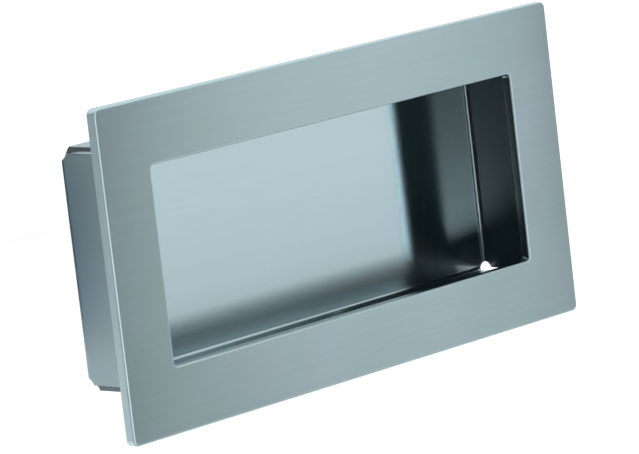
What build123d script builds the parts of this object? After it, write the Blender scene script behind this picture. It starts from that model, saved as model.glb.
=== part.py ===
from build123d import *
import math
import os

# Recessed pull handle for a door or drawer front: a flat cover plate with a rectangular window, and
# behind it a tray folded from thinner sheet. The tray is wider and higher than the window, so the
# plate overlaps it as a lip that the fingers hook behind.
#
# Millimetres. The front faces -Y and +Z is up. The origin is the centre of the window, in the plane
# of the plate's rear face, which is the face that seats on the door.

# Cover plate
PLATE_WIDTH = 150.0
PLATE_HEIGHT = 75.0
PLATE_THICKNESS = 2.5
PLATE_CORNER_RADIUS = 1.5
BORDER_WIDTH = 15.0  # from the plate's edge to the window's edge, on all four sides
WINDOW_CORNER_RADIUS = 1.0
EASED_EDGE_RADIUS = 0.45  # the front edges, rounded over by brushing

# Folded tray
SIDE_LIP = 6.5  # how far the plate overlaps the recess at its left and right
TOP_LIP = 4.0  # and at its top and bottom
SHEET_THICKNESS = 1.0
TRAY_DEPTH = 19.5  # from the plate's rear face to the tray's rear face
BEND_RADIUS = 1.2  # on the inside of each bend
SEAM_GAP = 0.5  # from a flap's end to the face of the flap beside it
RELIEF_CLEARANCE = 0.2  # how far the corner relief reaches past the bends that meet there

# Stitch welds that hold the tray to the plate's rear face
WELD_RADIUS = 1.5
WELD_LENGTH = 9.0
WELD_PITCH = 84.0  # between the two welds on the top flap, and on the bottom one

# Places that follow from the sizes above
recess_half_width = PLATE_WIDTH / 2 - BORDER_WIDTH + SIDE_LIP
recess_half_height = PLATE_HEIGHT / 2 - BORDER_WIDTH + TOP_LIP
recess_floor = TRAY_DEPTH - SHEET_THICKNESS
bend_start = recess_floor - BEND_RADIUS
sheet_middle = recess_floor + SHEET_THICKNESS / 2


def cover_plate():
    """The plate, cut with its window and eased along its front edges."""
    blank = RectangleRounded(PLATE_WIDTH, PLATE_HEIGHT, PLATE_CORNER_RADIUS)
    window = RectangleRounded(
        PLATE_WIDTH - 2 * BORDER_WIDTH, PLATE_HEIGHT - 2 * BORDER_WIDTH, WINDOW_CORNER_RADIUS
    )
    plate = extrude(Plane.XZ * (blank - window), PLATE_THICKNESS)
    front_edges = plate.faces().sort_by(Axis.Y).first.edges()
    return fillet(front_edges, EASED_EDGE_RADIUS)


def flap(wall_inside, length):
    """One wall of the tray with its bend: it stands at +X, and its bend runs along Z."""
    wall_outside = wall_inside + SHEET_THICKNESS
    bend_centre = (wall_inside - BEND_RADIUS, bend_start)
    inner_bend = CenterArc(bend_centre, BEND_RADIUS, 0, 90)
    outer_bend = CenterArc(bend_centre, BEND_RADIUS + SHEET_THICKNESS, 0, 90)
    wall = Polyline(inner_bend @ 0, (wall_inside, 0), (wall_outside, 0), outer_bend @ 0)
    joint_to_back = Line(outer_bend @ 1, inner_bend @ 1)
    section = make_face(inner_bend + wall + outer_bend + joint_to_back)
    return extrude(section, length / 2, both=True)


def corner_relief(half_width, half_height):
    """What is cut away at one rear corner, where the back and two flaps would meet."""
    bend_reach = math.sqrt(2) * (BEND_RADIUS + SHEET_THICKNESS / 2)
    return Pos(half_width, sheet_middle, half_height) * Sphere(bend_reach + RELIEF_CLEARANCE)


def folded_tray():
    """The tray: a back with four flaps folded forward, from one sheet."""
    back = Box(
        2 * (recess_half_width - BEND_RADIUS), SHEET_THICKNESS, 2 * (recess_half_height - BEND_RADIUS)
    )
    tray = Pos(0, sheet_middle, 0) * back
    side_flap = flap(recess_half_width, 2 * (recess_half_height - SEAM_GAP))
    long_flap = flap(recess_half_height, 2 * (recess_half_width - SEAM_GAP))
    for turn in (0, 180):
        tray += Rot(0, turn, 0) * side_flap
        tray += Rot(0, turn - 90, 0) * long_flap
    relief_half_width = recess_half_width + SHEET_THICKNESS / 2
    relief_half_height = recess_half_height + SHEET_THICKNESS / 2
    for side in (-1, 1):
        for level in (-1, 1):
            tray -= corner_relief(side * relief_half_width, level * relief_half_height)
    return tray


def stitch_weld(wall_outside, along):
    """One weld bead in the corner between a wall facing +X and the plate's rear face."""
    straight = WELD_LENGTH - 2 * WELD_RADIUS
    bead = Cylinder(WELD_RADIUS, straight)
    for end in (-1, 1):
        bead += Pos(0, 0, end * straight / 2) * Sphere(WELD_RADIUS)
    corner = Box(WELD_RADIUS, WELD_RADIUS, WELD_LENGTH, align=(Align.MIN, Align.MIN, Align.CENTER))
    return Pos(wall_outside, 0, along) * (bead & corner)


def stitch_welds():
    """The welds: two on each long flap and one on each side flap."""
    side_weld = stitch_weld(recess_half_width + SHEET_THICKNESS, 0)
    welds = []
    for turn in (0, 180):
        welds.append(Rot(0, turn, 0) * side_weld)
        for end in (-1, 1):
            long_weld = stitch_weld(recess_half_height + SHEET_THICKNESS, end * WELD_PITCH / 2)
            welds.append(Rot(0, turn - 90, 0) * long_weld)
    return Compound(welds)


os.makedirs("parts", exist_ok=True)
export_step(cover_plate(), "parts/cover_plate.step")
export_step(folded_tray(), "parts/folded_tray.step")
export_step(stitch_welds(), "parts/stitch_welds.step")
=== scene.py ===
import logging
import math
from dataclasses import dataclass, field
from enum import Enum
from typing import Any, Sequence

import bmesh
import bpy
from mathutils import Euler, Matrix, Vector


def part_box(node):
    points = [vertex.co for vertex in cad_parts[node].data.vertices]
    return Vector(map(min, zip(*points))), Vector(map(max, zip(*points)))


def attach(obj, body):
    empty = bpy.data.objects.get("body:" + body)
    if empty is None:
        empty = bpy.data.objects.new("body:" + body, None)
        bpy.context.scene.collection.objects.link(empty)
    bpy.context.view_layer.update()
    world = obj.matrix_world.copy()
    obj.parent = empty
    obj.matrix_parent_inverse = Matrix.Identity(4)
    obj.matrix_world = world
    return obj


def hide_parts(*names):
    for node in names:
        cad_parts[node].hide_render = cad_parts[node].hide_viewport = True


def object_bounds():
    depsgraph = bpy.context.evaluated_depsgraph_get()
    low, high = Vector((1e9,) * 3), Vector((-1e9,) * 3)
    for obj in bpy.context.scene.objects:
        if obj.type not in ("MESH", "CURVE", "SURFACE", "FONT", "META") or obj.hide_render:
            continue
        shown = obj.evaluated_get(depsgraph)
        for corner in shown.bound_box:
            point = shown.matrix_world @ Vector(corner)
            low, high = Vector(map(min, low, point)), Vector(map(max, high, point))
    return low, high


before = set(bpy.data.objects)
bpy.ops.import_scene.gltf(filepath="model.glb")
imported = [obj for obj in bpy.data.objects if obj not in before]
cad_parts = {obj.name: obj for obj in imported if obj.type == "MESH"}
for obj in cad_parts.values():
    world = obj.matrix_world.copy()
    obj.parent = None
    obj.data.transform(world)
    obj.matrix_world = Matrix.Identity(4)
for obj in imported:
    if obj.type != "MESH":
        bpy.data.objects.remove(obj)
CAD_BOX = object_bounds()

# Dresses the recessed pull handle: a cover plate with a window, a tray folded from one sheet, and the
# stitch welds that join them. Metres. The front faces -Y and +Z is up. The origin is the centre of the
# window, in the plane of the plate's rear face.

LOG = logging.getLogger("pull_handle")
QUARTER_TURN = math.pi / 2
BLANK_PLACE = "blank_place"  # the attribute that keeps a point's place on the flat sheet before folding
BEAD_TURN = "turn"  # the attribute that keeps a weld bead's turn about Y
MERGE_DISTANCE = 1e-6  # points closer than this become one
CUT_TOLERANCE = 1e-8  # how near to a cut a point counts as on it
FLAT_FACE_WEIGHT = 100  # gives a corner's normal to its larger face

Point = tuple[float, float]
Colour = tuple[float, float, float]


class Wall(Enum):
    """The four walls of the tray, each with its turn about Y from the wall at +X."""

    RIGHT = 0.0
    TOP = -QUARTER_TURN
    LEFT = math.pi
    BOTTOM = QUARTER_TURN

    @property
    def is_long(self) -> bool:
        """True for the top and bottom walls, which run along the handle's length."""
        return self in (Wall.TOP, Wall.BOTTOM)


class GrainPlace(Enum):
    """Where a finish reads the place of its grain from."""

    ON_OBJECT = "object"
    ON_BLANK = "blank"


# ---- Node trees ----


class Wiring:
    """Adds nodes to a shader or geometry tree and joins their sockets."""

    def __init__(self, tree: bpy.types.NodeTree) -> None:
        """Takes the tree that the nodes go into.

        Args:
            tree: A shader or geometry node tree.
        """
        self.tree = tree

    def add(
        self, kind: str, inputs: dict[int | str, Any] | None = None, **settings: Any
    ) -> bpy.types.Node:
        """Adds one node.

        Args:
            kind: The node's type name.
            inputs: A value, or a socket or node to link from, for each named or numbered input.
            settings: The node's own properties.

        Returns:
            The new node.
        """
        node = self.tree.nodes.new(kind)
        for name, setting in settings.items():
            setattr(node, name, setting)
        for key, value in (inputs or {}).items():
            if isinstance(value, bpy.types.Node):
                value = value.outputs[0]
            if isinstance(value, bpy.types.NodeSocket):
                self.tree.links.new(value, node.inputs[key])
            else:
                node.inputs[key].default_value = value
        return node

    def math(self, operation: str, *values: Any) -> bpy.types.NodeSocket:
        """Adds a Math node.

        Args:
            operation: The name of its operation.
            values: A number or a socket for each of its inputs.

        Returns:
            The node's result.
        """
        inputs = dict(enumerate(values))
        return self.add("ShaderNodeMath", inputs, operation=operation).outputs[0]

    def switch(self, test: Any, if_false: Any, if_true: Any) -> bpy.types.NodeSocket:
        """Adds a choice between two numbers, for a geometry tree.

        Args:
            test: A true or false socket.
            if_false: The number given where the test is false.
            if_true: The number given where it is true.

        Returns:
            The chosen number.
        """
        inputs = {"Switch": test, "False": if_false, "True": if_true}
        return self.add("GeometryNodeSwitch", inputs, input_type="FLOAT").outputs[0]


def fresh_material(name: str) -> tuple[bpy.types.Material, Wiring]:
    """Starts a material with an empty tree.

    Args:
        name: The material's name.

    Returns:
        The material and its wiring.
    """
    made = bpy.data.materials.new(name)
    made.use_nodes = True
    made.node_tree.nodes.clear()
    return made, Wiring(made.node_tree)


@dataclass(frozen=True)
class TreeInput:
    """A named input of a geometry tree, with the value that this handle gives it."""

    name: str
    value: Any
    kind: str = "NodeSocketFloat"


def geometry_tree(
    name: str, inputs: Sequence[TreeInput]
) -> tuple[bpy.types.NodeTree, Wiring, bpy.types.Node]:
    """Starts a geometry tree with its named inputs.

    Args:
        name: The tree's name.
        inputs: Its inputs after the geometry.

    Returns:
        The tree, its wiring and its group input node.
    """
    tree = bpy.data.node_groups.new(name, "GeometryNodeTree")
    tree.interface.new_socket("Geometry", in_out="INPUT", socket_type="NodeSocketGeometry")
    tree.interface.new_socket("Geometry", in_out="OUTPUT", socket_type="NodeSocketGeometry")
    for one in inputs:
        tree.interface.new_socket(one.name, in_out="INPUT", socket_type=one.kind)
    wiring = Wiring(tree)
    return tree, wiring, wiring.add("NodeGroupInput")


def close_tree(wiring: Wiring, geometry: bpy.types.NodeSocket, material: bpy.types.NodeSocket) -> None:
    """Ends a geometry tree in Realize Instances and Set Material.

    Args:
        wiring: The tree's wiring.
        geometry: What the tree has made.
        material: The material input.
    """
    realized = wiring.add("GeometryNodeRealizeInstances", {"Geometry": geometry})
    dressed = wiring.add("GeometryNodeSetMaterial", {"Geometry": realized, "Material": material})
    wiring.add("NodeGroupOutput", {"Geometry": dressed})


def attach_tree(piece: bpy.types.Object, tree: bpy.types.NodeTree, inputs: Sequence[TreeInput]) -> None:
    """Puts a geometry tree on a piece and sets its inputs by their sockets' identifiers.

    Args:
        piece: The object that gets the modifier.
        tree: The geometry tree.
        inputs: The inputs that the tree was made with.
    """
    modifier = piece.modifiers.new(tree.name, "NODES")
    modifier.node_group = tree
    identifiers = {s.name: s.identifier for s in tree.interface.items_tree if s.in_out == "INPUT"}
    for one in inputs:
        modifier[identifiers[one.name]] = one.value


# ---- Meshes ----


def mesh_object(
    name: str, shape: bmesh.types.BMesh, materials: Sequence[bpy.types.Material]
) -> bpy.types.Object:
    """Makes an object at the origin from a bmesh, and frees the bmesh.

    Args:
        name: The object's name.
        shape: The bmesh.
        materials: The object's material slots, in order.

    Returns:
        The new object, linked to the scene.
    """
    mesh = bpy.data.meshes.new(name)
    shape.to_mesh(mesh)
    shape.free()
    for material in materials:
        mesh.materials.append(material)
    made = bpy.data.objects.new(name, mesh)
    bpy.context.scene.collection.objects.link(made)
    return made


def flat_sheet(name: str, corners: Sequence[Vector], material: bpy.types.Material) -> bpy.types.Object:
    """Makes one flat face, for the studio.

    Args:
        name: The object's name.
        corners: Its corners in order.
        material: Its material.

    Returns:
        The new object.
    """
    shape = bmesh.new()
    shape.faces.new([shape.verts.new(corner) for corner in corners])
    return mesh_object(name, shape, [material])


def plain_mesh(draft: bpy.types.Object, name: str) -> bpy.types.Object:
    """Turns an object with modifiers into one with a plain mesh, smooth except at its sharp edges.

    Args:
        draft: The object whose modifiers are applied. It is removed.
        name: The finished piece's name.

    Returns:
        The finished piece, at the origin.
    """
    for polygon in draft.data.polygons:
        polygon.use_smooth = True
    evaluated = draft.evaluated_get(bpy.context.evaluated_depsgraph_get())
    mesh = bpy.data.meshes.new_from_object(evaluated)
    bpy.data.objects.remove(draft)
    mesh.name = name
    piece = bpy.data.objects.new(name, mesh)
    bpy.context.scene.collection.objects.link(piece)
    LOG.info("%s: %d faces", name, len(mesh.polygons))
    return piece


def rounded_rectangle(half_width: float, half_height: float, radius: float, steps: int) -> list[Point]:
    """The corner points of a rounded rectangle, the same number for every size.

    Args:
        half_width: Half its width.
        half_height: Half its height.
        radius: Its corner radius.
        steps: How many steps each corner's arc has.

    Returns:
        The points, anticlockwise from the corner at the upper right.
    """
    points = []
    for quarter, (side, level) in enumerate(((1, 1), (-1, 1), (-1, -1), (1, -1))):
        centre = (side * (half_width - radius), level * (half_height - radius))
        for step in range(steps + 1):
            angle = (quarter + step / steps) * QUARTER_TURN
            points.append((centre[0] + radius * math.cos(angle), centre[1] + radius * math.sin(angle)))
    return points


def weigh_normals(piece: bpy.types.Object) -> None:
    """Adds the modifier that keeps flat faces looking flat beside their rounded edges.

    Args:
        piece: The object that gets the modifier.
    """
    modifier = piece.modifiers.new("Weighted normals", "WEIGHTED_NORMAL")
    modifier.weight = FLAT_FACE_WEIGHT
    modifier.keep_sharp = True


# ---- Finishes ----


@dataclass(frozen=True)
class BrushedSteel:
    """Stainless steel brushed along the handle's length, for a face of the plate or the tray."""

    name: str
    colour: Colour
    roughness: float
    anisotropy: float = 0.0
    line_contrast: float = 0.08  # how much lighter or darker a brush line may be
    cloud_contrast: float = 0.05  # the same for the slow changes over the sheet
    line_height: float = 1e-6
    place: GrainPlace = GrainPlace.ON_OBJECT
    line_width: float = 0.00016
    line_length: float = 0.022
    band_width: float = 0.0011
    band_length: float = 0.075
    cloud_size: float = 0.03
    noise_detail: float = 2.0
    hue_drift: float = 0.0  # how far slow patches go from greenish to purplish
    hue_patch_size: float = 0.039
    roughness_spread: float = 0.06  # between the smoothest and the roughest brush line
    depth_tilt: float = 0.02  # keeps the tangent off the normal on faces that look up or down

    def grain_place(self, wiring: Wiring) -> bpy.types.NodeSocket:
        """The coordinates that the grain is drawn in, with X along it and Z across it.

        Args:
            wiring: The material's wiring.

        Returns:
            A vector socket.
        """
        if self.place is GrainPlace.ON_BLANK:
            return wiring.add("ShaderNodeAttribute", attribute_name=BLANK_PLACE).outputs["Vector"]
        return wiring.add("ShaderNodeTexCoord").outputs["Object"]

    def lines(
        self, wiring: Wiring, place: bpy.types.NodeSocket, length: float, width: float
    ) -> bpy.types.NodeSocket:
        """Noise drawn out along the grain.

        Args:
            wiring: The material's wiring.
            place: The grain's coordinates.
            length: About how long a line is.
            width: About how wide a line is.

        Returns:
            A number about 0.5.
        """
        scaled = wiring.add(
            "ShaderNodeMapping", {"Vector": place, "Scale": (1 / length, 1 / length, 1 / width)}
        )
        noise = wiring.add(
            "ShaderNodeTexNoise",
            {"Vector": scaled, "Scale": 1.0, "Detail": self.noise_detail},
        )
        return noise.outputs["Fac"]

    def tone(self, wiring: Wiring, place: bpy.types.NodeSocket) -> bpy.types.NodeSocket:
        """How light each place is: fine brush lines, broader bands of them, and slow clouds.

        Args:
            wiring: The material's wiring.
            place: The grain's coordinates.

        Returns:
            A number a little above 1.
        """
        fine = self.lines(wiring, place, self.line_length, self.line_width)
        bands = self.lines(wiring, place, self.band_length, self.band_width)
        cloud = self.lines(wiring, place, self.cloud_size, self.cloud_size)
        tone = wiring.math("MULTIPLY_ADD", fine, self.line_contrast, 1 - self.line_contrast / 2)
        tone = wiring.math("MULTIPLY_ADD", bands, self.line_contrast, tone)
        return wiring.math("MULTIPLY_ADD", cloud, self.cloud_contrast, tone)

    def shade(self, wiring: Wiring, place: bpy.types.NodeSocket) -> bpy.types.NodeSocket:
        """The surface's colour at each place.

        Args:
            wiring: The material's wiring.
            place: The grain's coordinates.

        Returns:
            A colour whose mean over the surface is the finish's colour.
        """
        middle = 1 + (self.line_contrast + self.cloud_contrast) / 2
        tone = wiring.math("DIVIDE", self.tone(wiring, place), middle)
        toned = wiring.add("ShaderNodeVectorMath", {0: self.colour, "Scale": tone}, operation="SCALE")
        if not self.hue_drift:
            return toned.outputs[0]
        patches = self.lines(wiring, place, self.hue_patch_size, self.hue_patch_size)
        swing = wiring.math("MULTIPLY_ADD", patches, 2 * self.hue_drift, 1 - self.hue_drift)
        drift = wiring.add("ShaderNodeCombineXYZ", {"X": swing, "Y": 1.0, "Z": swing})
        return wiring.add("ShaderNodeVectorMath", {0: toned, 1: drift}, operation="MULTIPLY").outputs[0]

    def material(self) -> bpy.types.Material:
        """Builds the finish as a material, with its gloss drawn out across the grain.

        Returns:
            The new material.
        """
        made, wiring = fresh_material(self.name)
        place = self.grain_place(wiring)
        fine = self.lines(wiring, place, self.line_length, self.line_width)
        smoothest = self.roughness - self.roughness_spread / 2
        roughness = wiring.math("MULTIPLY_ADD", fine, self.roughness_spread, smoothest)
        bump = wiring.add(
            "ShaderNodeBump", {"Height": fine, "Distance": self.line_height, "Strength": 1.0}
        )
        across = wiring.add("ShaderNodeCombineXYZ", {"X": 0.0, "Y": self.depth_tilt, "Z": 1.0})
        surface = wiring.add(
            "ShaderNodeBsdfPrincipled",
            {
                "Base Color": self.shade(wiring, place),
                "Metallic": 1.0,
                "Roughness": roughness,
                "Anisotropic": self.anisotropy,
                "Normal": bump,
                "Tangent": across,
            },
        )
        wiring.add("ShaderNodeOutputMaterial", {"Surface": surface})
        return made


PLATE_COLOUR = (0.46, 0.605, 0.635)
TRAY_COLOUR = (0.445, 0.575, 0.615)

PLATE_FACE = BrushedSteel(
    "brushed plate face",
    PLATE_COLOUR,
    roughness=0.33,
    anisotropy=0.95,
    line_contrast=0.10,
    cloud_contrast=0.12,
    line_height=1.5e-6,
    hue_drift=0.12,
)
# The outer cut edge is linished steel. Its colour, lighter than the face's, is painted light.
PLATE_CUT_PAINTED_LIGHT = BrushedSteel("linished plate edge with painted light", (0.53, 0.70, 0.74), roughness=0.40, anisotropy=0.3)
# The eased edges are rougher steel. Their colour, lighter than the face's, is a painted highlight along
# the plate's edges.
PLATE_EASED_PAINTED_HIGHLIGHT = BrushedSteel("eased plate edge with painted highlight", (0.66, 0.82, 0.85), roughness=0.65)
# The window's cut faces are the plate's steel. Their dark colour is painted shade at the rim of the
# recess.
WINDOW_CUT_PAINTED_SHADE = BrushedSteel("cut window edge with painted shade", (0.29, 0.345, 0.365), roughness=0.25)
# The rear face's rough mill finish is real. Its dark grey colour is painted shade, where the rear faces
# the dark inside of the tray.
PLATE_REAR_PAINTED_SHADE = BrushedSteel(
    "mill finished plate rear with painted shade",
    (0.33, 0.34, 0.335),
    roughness=0.42,
    anisotropy=0.3,
    line_contrast=0.06,
    cloud_contrast=0.14,
)
TRAY_INSIDE = BrushedSteel(
    "brushed tray inside",
    TRAY_COLOUR,
    roughness=0.17,
    anisotropy=0.98,
    line_contrast=0.05,
    cloud_contrast=0.03,
    line_height=6e-7,
    place=GrainPlace.ON_BLANK,
)
TRAY_OUTSIDE = BrushedSteel(
    "mill finished tray outside",
    TRAY_COLOUR,
    roughness=0.34,
    anisotropy=0.5,
    line_contrast=0.04,
    cloud_contrast=0.08,
    line_height=4e-7,
    place=GrainPlace.ON_BLANK,
)
# The tray's cut edges are the same steel. Their dark colour is painted shade in the seams between the
# walls.
TRAY_CUT_PAINTED_SHADE = BrushedSteel("cut tray edge with painted shade", (0.22, 0.26, 0.28), roughness=0.42, place=GrainPlace.ON_BLANK)
WELD = BrushedSteel(
    "weld bead",
    (0.42, 0.40, 0.37),
    roughness=0.38,
    line_contrast=0.2,
    cloud_contrast=0.3,
    line_height=2e-6,
)


# ---- The cover plate ----


class PlateFinish(Enum):
    """The places on the plate that are finished differently, each with its material slot."""

    FRONT = 0
    OUTER_CUT = 1
    EASED = 2
    WINDOW_CUT_PAINTED_SHADE = 3
    REAR = 4


@dataclass
class CoverPlate:
    """The cover plate, with its window and its eased front edges."""

    border_width: float = 0.015
    corner_radius: float = 0.0015
    window_corner_radius: float = 0.001
    eased_radius: float = 0.00045
    rear_edge_break: float = 0.00012
    corner_steps: int = 8
    eased_steps: int = 6
    low: Vector = field(default_factory=lambda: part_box("cover_plate")[0])
    high: Vector = field(default_factory=lambda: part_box("cover_plate")[1])

    @property
    def thickness(self) -> float:
        """The plate's thickness."""
        return self.high.y - self.low.y

    def edge_profile(self) -> list[Point]:
        """An edge's section from rear to front.

        Returns:
            Points as distance in from the edge and distance forward from the rear.
        """
        front = self.thickness - self.eased_radius
        profile = [(self.rear_edge_break, 0.0), (0.0, self.rear_edge_break)]
        for step in range(self.eased_steps + 1):
            angle = step / self.eased_steps * QUARTER_TURN
            inset = self.eased_radius * (1 - math.cos(angle))
            profile.append((inset, front + self.eased_radius * math.sin(angle)))
        return profile

    def rings(self) -> list[list[Vector]]:
        """The rings of points round the plate's frame.

        Returns:
            The rings, from the rear outer edge over the front to the rear window edge.
        """
        half_width, half_height = self.high.x, self.high.z
        rings = []
        for inset, forward in self.edge_profile():
            outline = rounded_rectangle(
                half_width - inset, half_height - inset, self.corner_radius - inset, self.corner_steps
            )
            rings.append([Vector((x, -forward, z)) for x, z in outline])
        for inset, forward in reversed(self.edge_profile()):
            outline = rounded_rectangle(
                half_width - self.border_width + inset,
                half_height - self.border_width + inset,
                self.window_corner_radius + inset,
                self.corner_steps,
            )
            rings.append([Vector((x, -forward, z)) for x, z in outline])
        return rings

    def finish_between(self, here: Vector, following: Vector, in_window: bool) -> PlateFinish:
        """Which finish a face has, from its step across two rings.

        Args:
            here: A point on one ring.
            following: The same point on the next ring.
            in_window: Whether the two rings are the window's.

        Returns:
            The finish of the faces between the rings.
        """
        if (here - following).length > self.border_width / 2:
            return PlateFinish.FRONT if here.y < -self.thickness / 2 else PlateFinish.REAR
        if abs(here.y - following.y) < self.thickness / 2:
            return PlateFinish.EASED
        return PlateFinish.WINDOW_CUT_PAINTED_SHADE if in_window else PlateFinish.OUTER_CUT

    def shape(self) -> bmesh.types.BMesh:
        """Joins the rings into a closed frame, and gives each face the slot of its finish.

        Returns:
            The plate's bmesh.
        """
        shape = bmesh.new()
        rows = [[shape.verts.new(point) for point in ring] for ring in self.rings()]
        for index, row in enumerate(rows):
            following = rows[(index + 1) % len(rows)]
            in_window = index > len(rows) / 2
            finish = self.finish_between(row[0].co, following[0].co, in_window)
            for here in range(len(row)):
                ahead = (here + 1) % len(row)
                corners = (row[here], row[ahead], following[ahead], following[here])
                shape.faces.new(corners).material_index = finish.value
        bmesh.ops.recalc_face_normals(shape, faces=shape.faces[:])
        return shape

    def build(self) -> bpy.types.Object:
        """Builds and dresses the plate, which stands for the CAD plate.

        Returns:
            The finished piece.
        """
        finishes = {
            PlateFinish.FRONT: PLATE_FACE,
            PlateFinish.OUTER_CUT: PLATE_CUT_PAINTED_LIGHT,
            PlateFinish.EASED: PLATE_EASED_PAINTED_HIGHLIGHT,
            PlateFinish.WINDOW_CUT_PAINTED_SHADE: WINDOW_CUT_PAINTED_SHADE,
            PlateFinish.REAR: PLATE_REAR_PAINTED_SHADE,
        }
        materials = [finishes[place].material() for place in PlateFinish]
        draft = mesh_object("plate draft", self.shape(), materials)
        weigh_normals(draft)
        piece = plain_mesh(draft, "plate_brushed")
        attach(piece, "root")
        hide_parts("cover_plate")
        return piece


# ---- The folded tray ----


class TrayFinish(Enum):
    """The places on the tray that are finished differently, each with its material slot."""

    INSIDE = 0
    OUTSIDE = 1
    CUT = 2


@dataclass
class FoldedTray:
    """The tray: a flat blank is cut, then folded forward on four sides and given its thickness."""

    sheet_thickness: float = 0.001
    bend_radius: float = 0.0012  # on the inside of each bend
    seam_gap: float = 0.0005
    relief_radius: float = 0.0021  # of the round hole cut in the blank where two bends would cross
    bend_steps: int = 18
    relief_steps: int = 20  # round a flap's side of the relief
    bow: float = 0.00045  # how far the back's ends stand forward of its middle, from folding
    bow_steps: int = 24  # along the back's length
    edge_break: float = 0.00008
    edge_break_angle: float = 60.0  # degrees, past which an edge is broken
    edge_break_steps: int = 2
    low: Vector = field(default_factory=lambda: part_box("folded_tray")[0])
    high: Vector = field(default_factory=lambda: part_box("folded_tray")[1])

    def __post_init__(self) -> None:
        """Works out the blank from the sizes of the folded tray."""
        self.middle_radius = self.bend_radius + self.sheet_thickness / 2
        self.bend_length = self.middle_radius * QUARTER_TURN
        self.flat_half_width = self.high.x - self.sheet_thickness - self.bend_radius
        self.flat_half_height = self.high.z - self.sheet_thickness - self.bend_radius
        self.sheet_middle = self.high.y - self.sheet_thickness / 2
        self.wall_length = self.sheet_middle - self.middle_radius - self.low.y

    def flap_outline(self, fold: float, across: float, half_length: float) -> list[Point]:
        """Half of a flap's outline on the blank, from its free end round the relief to its fold.

        Args:
            fold: How far the fold's start is from the blank's centre.
            across: How far the neighbouring flap's fold starts from the centre.
            half_length: Half the flap's length along its free end.

        Returns:
            Points as distance from the centre and distance along the fold.
        """
        centre = (fold + self.bend_length / 2, across + self.bend_length / 2)
        start = -math.asin((centre[1] - half_length) / self.relief_radius)
        end = -math.acos(-self.bend_length / 2 / self.relief_radius)
        outline = [(fold + self.bend_length + self.wall_length, half_length)]
        for step in range(self.relief_steps + 1):
            angle = start + (end - start) * step / self.relief_steps
            outline.append(
                (
                    centre[0] + self.relief_radius * math.cos(angle),
                    centre[1] + self.relief_radius * math.sin(angle),
                )
            )
        return outline

    def add_flap(self, blank: bmesh.types.BMesh, wall: Wall) -> None:
        """Adds one flap to the blank, cut across at each step of its bend.

        Args:
            blank: The blank so far.
            wall: Which wall the flap becomes.
        """
        side, level = self.flat_half_width, self.flat_half_height
        gap = self.bend_radius - self.seam_gap
        if wall.is_long:
            fold, across, half_length = level, side, side + gap
        else:
            fold, across, half_length = side, level, level + gap
        half = self.flap_outline(fold, across, half_length)
        outline = half + [(out, -along) for out, along in reversed(half)]
        cosine, sine = round(math.cos(wall.value)), round(math.sin(wall.value))
        corners = []
        for out, along in outline:
            place = Vector((cosine * out + sine * along, 0.0, -sine * out + cosine * along))
            corners.append(blank.verts.new(place))
        pieces: list[Any] = [blank.faces.new(corners)]
        outward = Vector((cosine, 0.0, -sine))
        for step in range(1, self.bend_steps + 1):
            distance = fold + self.bend_length * step / self.bend_steps
            geometry = {item for face in pieces for item in (face, *face.edges, *face.verts)}
            cut = bmesh.ops.bisect_plane(
                blank,
                geom=list(geometry),
                plane_co=outward * distance,
                plane_no=outward,
                dist=CUT_TOLERANCE,
            )
            pieces = [item for item in cut["geom"] if isinstance(item, bmesh.types.BMFace)]

    def add_back(self, blank: bmesh.types.BMesh) -> None:
        """Adds the flat back, whose corners are the reliefs' inner arcs.

        Args:
            blank: The blank so far.
        """
        start = math.acos(self.bend_length / 2 / self.relief_radius)
        end = QUARTER_TURN - start
        corners = []
        for side, level in ((1, 1), (-1, 1), (-1, -1), (1, -1)):
            arc = []
            for part in (0.0, 0.5, 1.0):
                angle = start + (end - start) * part
                x = self.flat_half_width + self.bend_length / 2 - self.relief_radius * math.cos(angle)
                z = self.flat_half_height + self.bend_length / 2 - self.relief_radius * math.sin(angle)
                arc.append(Vector((side * x, 0.0, level * z)))
            corners.extend(arc if side == level else reversed(arc))
        blank.faces.new([blank.verts.new(place) for place in corners])

    def blank(self) -> bmesh.types.BMesh:
        """Cuts the flat blank.

        Returns:
            The blank, which lies in the XZ plane.
        """
        blank = bmesh.new()
        self.add_back(blank)
        for wall in Wall:
            self.add_flap(blank, wall)
        bmesh.ops.remove_doubles(blank, verts=blank.verts[:], dist=MERGE_DISTANCE)
        self.cut_across(blank)
        bmesh.ops.recalc_face_normals(blank, faces=blank.faces[:])
        return blank

    def cut_across(self, blank: bmesh.types.BMesh) -> None:
        """Cuts the back and the long walls into strips, so that they can follow the bow.

        Args:
            blank: The whole blank.
        """
        for step in range(1, self.bow_steps):
            place = (2 * step / self.bow_steps - 1) * self.flat_half_width
            bmesh.ops.bisect_plane(
                blank,
                geom=[*blank.faces, *blank.edges, *blank.verts],
                plane_co=(place, 0.0, 0.0),
                plane_no=(1.0, 0.0, 0.0),
                dist=CUT_TOLERANCE,
            )

    def fold_inputs(self, material: bpy.types.Material) -> list[TreeInput]:
        """The named inputs of the folding tree.

        Args:
            material: The finish of the tray's inside.

        Returns:
            The inputs, with this tray's values.
        """
        return [
            TreeInput("Flat Half Width", self.flat_half_width),
            TreeInput("Flat Half Height", self.flat_half_height),
            TreeInput("Middle Radius", self.middle_radius),
            TreeInput("Sheet Middle", self.sheet_middle),
            TreeInput("Bow", self.bow),
            TreeInput("Finish", material, "NodeSocketMaterial"),
        ]

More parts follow.
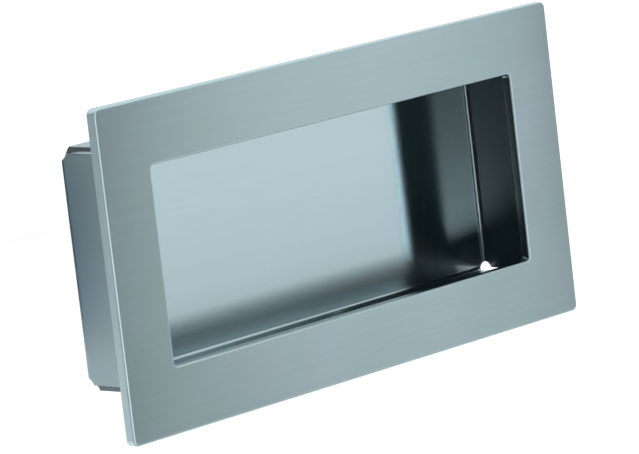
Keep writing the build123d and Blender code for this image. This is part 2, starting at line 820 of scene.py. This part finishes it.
    def fold_tree(self, inputs: Sequence[TreeInput]) -> bpy.types.NodeTree:
        """Builds the tree that folds the blank: a point past a fold goes round it and then forward.

        Args:
            inputs: The tree's named inputs.

        Returns:
            The geometry tree.
        """
        tree, wiring, given = geometry_tree("Fold sheet", inputs)
        math_node = wiring.math
        place = wiring.add("GeometryNodeInputPosition").outputs[0]
        kept = wiring.add(
            "GeometryNodeStoreNamedAttribute",
            {"Geometry": given.outputs["Geometry"], "Name": BLANK_PLACE, "Value": place},
            data_type="FLOAT_VECTOR",
            domain="POINT",
        )
        parts = wiring.add("ShaderNodeSeparateXYZ", {0: place})
        across, along = parts.outputs["X"], parts.outputs["Z"]
        flat_width, flat_height = given.outputs["Flat Half Width"], given.outputs["Flat Half Height"]
        past_side = math_node("SUBTRACT", math_node("ABSOLUTE", across), flat_width)
        past_level = math_node("SUBTRACT", math_node("ABSOLUTE", along), flat_height)
        on_side = wiring.add(
            "FunctionNodeCompare",
            {"A": past_side, "B": past_level},
            data_type="FLOAT",
            operation="GREATER_THAN",
        ).outputs[0]
        past = math_node("MAXIMUM", math_node("MAXIMUM", past_side, past_level), 0.0)
        radius = given.outputs["Middle Radius"]
        angle = math_node("MINIMUM", math_node("DIVIDE", past, radius), QUARTER_TURN)
        straight = math_node(
            "MAXIMUM", math_node("SUBTRACT", past, math_node("MULTIPLY", radius, QUARTER_TURN)), 0.0
        )
        outward = math_node("MULTIPLY", radius, math_node("SINE", angle))
        risen = math_node("MULTIPLY", radius, math_node("SUBTRACT", 1.0, math_node("COSINE", angle)))
        forward = math_node("ADD", risen, straight)

        def folded(
            value: bpy.types.NodeSocket, flat_half: bpy.types.NodeSocket
        ) -> bpy.types.NodeSocket:
            """A coordinate once its flap is folded.

            Args:
                value: The coordinate on the blank.
                flat_half: How far from the centre the fold starts.

            Returns:
                The coordinate on the folded tray.
            """
            flat = math_node("MINIMUM", math_node("ABSOLUTE", value), flat_half)
            reach = math_node("ADD", flat, outward)
            return math_node("MULTIPLY", math_node("SIGN", value), reach)

        new_x = wiring.switch(on_side, across, folded(across, flat_width))
        new_z = wiring.switch(on_side, folded(along, flat_height), along)
        flat_y = math_node("SUBTRACT", given.outputs["Sheet Middle"], forward)
        # The back is a little dished along its length, and the walls' free ends stay straight.
        off_centre = math_node("POWER", math_node("DIVIDE", new_x, flat_width), 2.0)
        depth_share = math_node("DIVIDE", given.outputs["Bow"], given.outputs["Sheet Middle"])
        dish = math_node("MULTIPLY", off_centre, depth_share)
        new_y = math_node("MULTIPLY", flat_y, math_node("SUBTRACT", 1.0, dish))
        new_place = wiring.add("ShaderNodeCombineXYZ", {"X": new_x, "Y": new_y, "Z": new_z})
        bent = wiring.add("GeometryNodeSetPosition", {"Geometry": kept, "Position": new_place})
        close_tree(wiring, bent.outputs[0], given.outputs["Finish"])
        return tree

    def build(self) -> bpy.types.Object:
        """Builds and dresses the tray, which stands for the CAD tray.

        Returns:
            The finished piece.
        """
        finishes = [TRAY_INSIDE.material(), TRAY_OUTSIDE.material(), TRAY_CUT_PAINTED_SHADE.material()]
        draft = mesh_object("tray blank", self.blank(), finishes)
        inputs = self.fold_inputs(finishes[TrayFinish.INSIDE.value])
        attach_tree(draft, self.fold_tree(inputs), inputs)
        thickness = draft.modifiers.new("Sheet thickness", "SOLIDIFY")
        thickness.thickness = self.sheet_thickness
        thickness.offset = 0.0
        thickness.use_even_offset = True
        thickness.material_offset = TrayFinish.OUTSIDE.value
        thickness.material_offset_rim = TrayFinish.CUT.value
        edges = draft.modifiers.new("Edge break", "BEVEL")
        edges.width = self.edge_break
        edges.segments = self.edge_break_steps
        edges.limit_method = "ANGLE"
        edges.angle_limit = math.radians(self.edge_break_angle)
        weigh_normals(draft)
        piece = plain_mesh(draft, "tray_folded_sheet")
        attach(piece, "root")
        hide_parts("folded_tray")
        return piece


# ---- The stitch welds ----


@dataclass
class StitchWelds:
    """The six weld beads in the corner between the tray's walls and the plate's rear face."""

    radius: float = 0.0015
    length: float = 0.009
    pitch: float = 0.084  # between the two beads on a long wall
    ripple_pitch: float = 0.0007
    ripple_depth: float = 0.00009
    smallest: float = 0.93  # of a full bead, for the smallest one
    spine_points: int = 65
    ring_points: int = 24
    seed: int = 7
    low: Vector = field(default_factory=lambda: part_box("folded_tray")[0])
    high: Vector = field(default_factory=lambda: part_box("folded_tray")[1])

    def places(self) -> bmesh.types.BMesh:
        """One loose point for each bead, with its turn about Y kept in a layer.

        Returns:
            The points, on the tray's outside in the plane of the plate's rear face.
        """
        places = bmesh.new()
        turn = places.verts.layers.float_vector.new(BEAD_TURN)
        for wall in Wall:
            out = self.high.z if wall.is_long else self.high.x
            offsets = (-self.pitch / 2, self.pitch / 2) if wall.is_long else (0.0,)
            for along in offsets:
                place = Vector((out, 0.0, along))
                place.rotate(Euler((0.0, wall.value, 0.0)))
                point = places.verts.new(place)
                point[turn] = Vector((0.0, wall.value, 0.0))
        return places

    def bead_inputs(self, material: bpy.types.Material) -> list[TreeInput]:
        """The named inputs of the bead tree.

        Args:
            material: The finish of the beads.

        Returns:
            The inputs, with these beads' values.
        """
        return [
            TreeInput("Radius", self.radius),
            TreeInput("Length", self.length),
            TreeInput("Ripple Pitch", self.ripple_pitch),
            TreeInput("Ripple Depth", self.ripple_depth),
            TreeInput("Smallest", self.smallest),
            TreeInput("Seed", self.seed, "NodeSocketInt"),
            TreeInput("Finish", material, "NodeSocketMaterial"),
        ]

    def bead_tree(self, inputs: Sequence[TreeInput]) -> bpy.types.NodeTree:
        """Builds the tree that lays one rippled bead on each point and presses it into its corner.

        Args:
            inputs: The tree's named inputs.

        Returns:
            The geometry tree.
        """
        tree, wiring, given = geometry_tree("Weld beads", inputs)
        math_node = wiring.math
        radius, length = given.outputs["Radius"], given.outputs["Length"]
        half = math_node("DIVIDE", length, 2.0)
        tip = wiring.add("ShaderNodeCombineXYZ", {"Z": half})
        tail = wiring.add("ShaderNodeCombineXYZ", {"Z": math_node("MULTIPLY", half, -1.0)})
        line = wiring.add("GeometryNodeCurvePrimitiveLine", {"Start": tail, "End": tip})
        spine = wiring.add("GeometryNodeResampleCurve", {"Curve": line, "Count": self.spine_points})
        ring = wiring.add(
            "GeometryNodeCurvePrimitiveCircle", {"Resolution": self.ring_points, "Radius": 1.0}
        )
        tube = wiring.add(
            "GeometryNodeCurveToMesh",
            {"Curve": spine, "Profile Curve": ring, "Fill Caps": True},
        )
        place = wiring.add("GeometryNodeInputPosition").outputs[0]
        parts = wiring.add("ShaderNodeSeparateXYZ", {0: place})
        x, y, along = parts.outputs["X"], parts.outputs["Y"], parts.outputs["Z"]
        # The bead is full in its middle and round at its ends.
        straight = math_node("SUBTRACT", half, radius)
        past = math_node("SUBTRACT", math_node("ABSOLUTE", along), straight)
        past = math_node("DIVIDE", math_node("MAXIMUM", past, 0.0), radius)
        fullness = math_node("SQRT", math_node("SUBTRACT", 1.0, math_node("POWER", past, 2.0)))
        # Each ripple lags at the bead's toes, so that it is a crescent.
        crown = math_node("MULTIPLY", math_node("MULTIPLY", x, y), given.outputs["Ripple Pitch"])
        phase = math_node("DIVIDE", math_node("ADD", along, crown), given.outputs["Ripple Pitch"])
        ripple = math_node("ABSOLUTE", math_node("SINE", math_node("MULTIPLY", phase, math.pi)))
        swell = math_node("MULTIPLY", ripple, given.outputs["Ripple Depth"])
        full = math_node("SUBTRACT", radius, given.outputs["Ripple Depth"])
        reach = math_node("MULTIPLY", math_node("ADD", full, swell), fullness)
        new_place = wiring.add(
            "ShaderNodeCombineXYZ",
            {"X": math_node("MULTIPLY", x, reach), "Y": math_node("MULTIPLY", y, reach), "Z": along},
        )
        rippled = wiring.add("GeometryNodeSetPosition", {"Geometry": tube, "Position": new_place})
        # What would lie inside the wall or the plate is pressed flat against it.
        pressed_parts = wiring.add(
            "ShaderNodeSeparateXYZ", {0: wiring.add("GeometryNodeInputPosition").outputs[0]}
        )
        corner = wiring.add(
            "ShaderNodeCombineXYZ",
            {
                "X": math_node("MAXIMUM", pressed_parts.outputs["X"], 0.0),
                "Y": math_node("MAXIMUM", pressed_parts.outputs["Y"], 0.0),
                "Z": pressed_parts.outputs["Z"],
            },
        )
        pressed = wiring.add("GeometryNodeSetPosition", {"Geometry": rippled, "Position": corner})
        merged = wiring.add(
            "GeometryNodeMergeByDistance",
            {"Geometry": pressed, "Distance": MERGE_DISTANCE},
        )
        turn = wiring.add(
            "GeometryNodeInputNamedAttribute", {"Name": BEAD_TURN}, data_type="FLOAT_VECTOR"
        ).outputs[0]
        spread = wiring.add(
            "FunctionNodeRandomValue",
            {"Min": given.outputs["Smallest"], "Max": 1.0, "Seed": given.outputs["Seed"]},
            data_type="FLOAT",
        )
        beads = wiring.add(
            "GeometryNodeInstanceOnPoints",
            {
                "Points": given.outputs["Geometry"],
                "Instance": merged,
                "Rotation": turn,
                "Scale": spread.outputs[1],
            },
        )
        close_tree(wiring, beads.outputs[0], given.outputs["Finish"])
        return tree

    def build(self) -> bpy.types.Object:
        """Builds and dresses the beads, which stand for the CAD welds.

        Returns:
            The finished piece.
        """
        finish = WELD.material()
        draft = mesh_object("weld places", self.places(), [finish])
        inputs = self.bead_inputs(finish)
        attach_tree(draft, self.bead_tree(inputs), inputs)
        piece = plain_mesh(draft, "weld_beads")
        for polygon in piece.data.polygons:
            polygon.use_smooth = True
        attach(piece, "root")
        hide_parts("stitch_welds")
        return piece


# ---- The studio ----


def direction(azimuth: float, elevation: float) -> Vector:
    """The unit vector towards a place round the handle.

    Args:
        azimuth: Degrees from the front, positive to the right.
        elevation: Degrees above the horizon.

    Returns:
        The vector.
    """
    turn, rise = math.radians(azimuth), math.radians(elevation)
    level = math.cos(rise)
    return Vector((math.sin(turn) * level, -math.cos(turn) * level, math.sin(rise)))


def matt_material(name: str, colour: Colour) -> bpy.types.Material:
    """Plain matt card or cloth of one colour, for the studio.

    Args:
        name: The material's name.
        colour: Its colour.

    Returns:
        The new material.
    """
    made, wiring = fresh_material(name)
    surface = wiring.add("ShaderNodeBsdfDiffuse", {"Color": (*colour, 1.0)})
    wiring.add("ShaderNodeOutputMaterial", {"Surface": surface})
    return made


@dataclass(frozen=True)
class Card:
    """A flat card round the handle, which the metal mirrors and the camera doesn't see."""

    name: str
    azimuth: float  # degrees from the front, positive to the right
    elevation: float  # degrees above the horizon
    distance: float
    width: float
    height: float
    colour: Colour
    lean: float = 0.0  # degrees that its top leans to the right

    def hang(self) -> None:
        """Hangs the card so that it faces the handle."""
        away = direction(self.azimuth, self.elevation)
        level = Vector((0.0, 0.0, 1.0)).cross(away).normalized()
        upright = away.cross(level)
        lean = math.radians(self.lean)
        across = level * math.cos(lean) - upright * math.sin(lean)
        along = upright * math.cos(lean) + level * math.sin(lean)
        corners = []
        for side, height in ((-1, -1), (1, -1), (1, 1), (-1, 1)):
            offset = across * side * self.width / 2 + along * height * self.height / 2
            corners.append(away * self.distance + offset)
        card = flat_sheet(self.name, corners, matt_material(self.name, self.colour))
        card.visible_camera = False


@dataclass(frozen=True)
class Cloth:
    """A cloth on the floor, which the metal mirrors. It isn't seen and casts no shadow."""

    name: str
    near: Point  # X and Y of its left front corner
    far: Point  # X and Y of its right rear corner
    colour: Colour

    def lay(self, level: float) -> None:
        """Lays the cloth.

        Args:
            level: The height that it lies at.
        """
        places = (self.near, (self.far[0], self.near[1]), self.far, (self.near[0], self.far[1]))
        corners = [Vector((x, y, level)) for x, y in places]
        cloth = flat_sheet(self.name, corners, matt_material(self.name, self.colour))
        cloth.visible_camera = False
        cloth.visible_diffuse = False
        cloth.visible_shadow = False


@dataclass(frozen=True)
class Lamp:
    """A soft rectangular lamp that faces the handle."""

    name: str
    azimuth: float
    elevation: float
    distance: float
    width: float
    height: float
    power: float  # watts
    colour: Colour = (1.0, 1.0, 1.0)
    only_on: str = ""  # the one piece that it lights, with flags that keep it off the rest

    def hang(self) -> None:
        """Hangs the lamp where the camera doesn't see it."""
        light = bpy.data.lights.new(self.name, "AREA")
        light.shape = "RECTANGLE"
        light.size, light.size_y = self.width, self.height
        light.energy = self.power
        light.color = self.colour
        lamp = bpy.data.objects.new(self.name, light)
        away = direction(self.azimuth, self.elevation)
        lamp.location = away * self.distance
        lamp.rotation_mode = "QUATERNION"
        lamp.rotation_quaternion = away.to_track_quat("Z", "Y")
        lamp.visible_camera = False
        bpy.context.scene.collection.objects.link(lamp)
        if self.only_on:
            lit = bpy.data.collections.new(f"lit by the {self.name}")
            lit.objects.link(bpy.data.objects[self.only_on])
            lamp.light_linking.receiver_collection = lit


# Each card's azimuth, elevation, distance, width, height, colour and lean.
CARDS = (
    Card("black card at the left front", -68.0, 0.0, 0.9, 1.15, 3.0, (0.01, 0.01, 0.01)),
    Card("dark card at the front", 8.0, 0.0, 0.45, 0.44, 0.8, (0.1, 0.1, 0.1), 25.0),
    Card("dark strip at the right front", 29.0, 0.0, 0.32, 0.05, 0.5, (0.02, 0.02, 0.02), 18.0),
    Card("grey card at the right", 75.0, 0.0, 0.33, 0.2, 0.5, (0.1, 0.1, 0.1)),
    Card("grey card at the left rear", -122.0, 0.0, 0.9, 0.55, 1.4, (0.4, 0.4, 0.4)),
    Card("blue card behind the left wall", -138.0, -2.5, 0.122, 0.085, 0.05, (0.12, 0.24, 0.34)),
    Card("dark card behind", 176.0, -10.0, 0.9, 1.4, 0.9, (0.03, 0.03, 0.03)),
)
CLOTHS = (
    Cloth("black cloth", (-1.2, -1.2), (0.13, -0.02), (0.01, 0.01, 0.01)),
    Cloth("grey cloth", (0.15, -0.45), (0.8, -0.12), (0.8, 0.8, 0.8)),
)
# Each lamp's azimuth, elevation, distance, width, height, power and colour.
LAMPS = (
    Lamp("key lamp", 30.0, 65.0, 1.0, 0.6, 0.6, 0.5),
    Lamp("side lamp", -28.0, -24.0, 0.28, 0.13, 0.08, 0.065, (1.0, 0.85, 0.8)),
    Lamp("edge lamp", -35.6, -10.3, 0.26, 0.014, 0.05, 0.09, only_on="plate_brushed"),
    Lamp("rim lamp", 6.0, -15.0, 0.4, 0.24, 0.12, 0.5),
)


@dataclass
class Studio:
    """The pale floor and background, the lamps, and the cards and cloths that the metal mirrors."""

    floor_drop: float = 0.12  # below the handle
    floor_size: float = 12.0
    floor_colour: Colour = (0.85, 0.85, 0.85)
    floor_glow: float = 0.8  # how bright the floor is to the camera and in the metal, before its light
    fill_level: float = 0.5  # of the light from all round
    cloth_thickness: float = 0.001
    white: Colour = (1.0, 1.0, 1.0)

    def seen_rays(self, wiring: Wiring) -> bpy.types.NodeSocket:
        """Tells what is seen from what only lights.

        Args:
            wiring: The material's or the world's wiring.

        Returns:
            1 for a ray from the camera or from metal, and 0 for others.
        """
        rays = wiring.add("ShaderNodeLightPath").outputs
        seen = wiring.math("MAXIMUM", rays["Is Camera Ray"], rays["Is Glossy Ray"])
        return wiring.math("MAXIMUM", seen, rays["Is Transmission Ray"])

    def light_world(self) -> None:
        """Sets a white background, and a plain level for the light that it gives."""
        world = bpy.data.worlds.new("pale studio")
        bpy.context.scene.world = world
        world.use_nodes = True
        world.node_tree.nodes.clear()
        wiring = Wiring(world.node_tree)
        seen = self.seen_rays(wiring)
        level = wiring.math("MULTIPLY_ADD", seen, 1 - self.fill_level, self.fill_level)
        background = wiring.add(
            "ShaderNodeBackground", {"Color": (*self.white, 1.0), "Strength": level}
        )
        wiring.add("ShaderNodeOutputWorld", {"Surface": background})

    def floor_material(self) -> bpy.types.Material:
        """A pale floor that shows nearly white and keeps shadows.

        Returns:
            The new material.
        """
        made, wiring = fresh_material("pale floor")
        diffuse = wiring.add("ShaderNodeBsdfDiffuse", {"Color": (*self.floor_colour, 1.0)})
        strength = wiring.math("MULTIPLY", self.seen_rays(wiring), self.floor_glow)
        glow = wiring.add("ShaderNodeEmission", {"Color": (*self.white, 1.0), "Strength": strength})
        both = wiring.add("ShaderNodeAddShader", {0: diffuse, 1: glow})
        wiring.add("ShaderNodeOutputMaterial", {"Surface": both})
        return made

    def lay_floor(self, level: float) -> None:
        """Lays the floor under the handle.

        Args:
            level: The floor's height.
        """
        half = self.floor_size / 2
        places = ((-half, -half), (half, -half), (half, half), (-half, half))
        corners = [Vector((x, y, level)) for x, y in places]
        flat_sheet("floor", corners, self.floor_material())

    def build(self) -> None:
        """Sets up the studio and the plain colour handling."""
        level = CAD_BOX[0].z - self.floor_drop
        self.light_world()
        self.lay_floor(level)
        for card in CARDS:
            card.hang()
        for cloth in CLOTHS:
            cloth.lay(level + self.cloth_thickness)
        for lamp in LAMPS:
            lamp.hang()
        bpy.context.scene.view_settings.view_transform = "Standard"


@dataclass
class StudioCamera:
    """A long lens, to the left of the plate's front and a little above it."""

    azimuth: float = -45.579  # degrees, of the line that the camera looks along
    elevation: float = 8.819
    roll: float = 6.648
    distance: float = 1.0883  # to the centre of the plate's front
    lens: float = 268.6  # millimetres
    sensor_width: float = 36.0  # millimetres
    nearest: float = 0.01  # that the camera sees
    farthest: float = 50.0
    beside: float = 0.00661  # how far the plate's centre is to the right of the view's centre
    above: float = 0.00274  # and how far above it

    def build(self) -> None:
        """Makes the camera and sets it as the scene's."""
        back = direction(self.azimuth, self.elevation)
        camera = bpy.data.objects.new("camera", bpy.data.cameras.new("camera"))
        camera.data.lens = self.lens
        camera.data.sensor_width = self.sensor_width
        camera.data.clip_start, camera.data.clip_end = self.nearest, self.farthest
        roll = Euler((0.0, 0.0, math.radians(-self.roll))).to_matrix()
        turn = back.to_track_quat("Z", "Y").to_matrix() @ roll
        right, up = turn.col[0], turn.col[1]
        centre = Vector((0.0, CAD_BOX[0].y, 0.0))
        camera.location = centre + back * self.distance - right * self.beside - up * self.above
        camera.rotation_mode = "QUATERNION"
        camera.rotation_quaternion = turn.to_quaternion()
        bpy.context.scene.collection.objects.link(camera)
        bpy.context.scene.camera = camera


def main() -> None:
    """Builds the handle's pieces in order, then the studio and the camera."""
    logging.basicConfig(level=logging.INFO, format="%(name)s: %(message)s")
    for part in (CoverPlate(), FoldedTray(), StitchWelds()):
        piece = part.build()
        LOG.info("built %s", piece.name)
    Studio().build()
    StudioCamera().build()


if __name__ == "__main__":
    main()
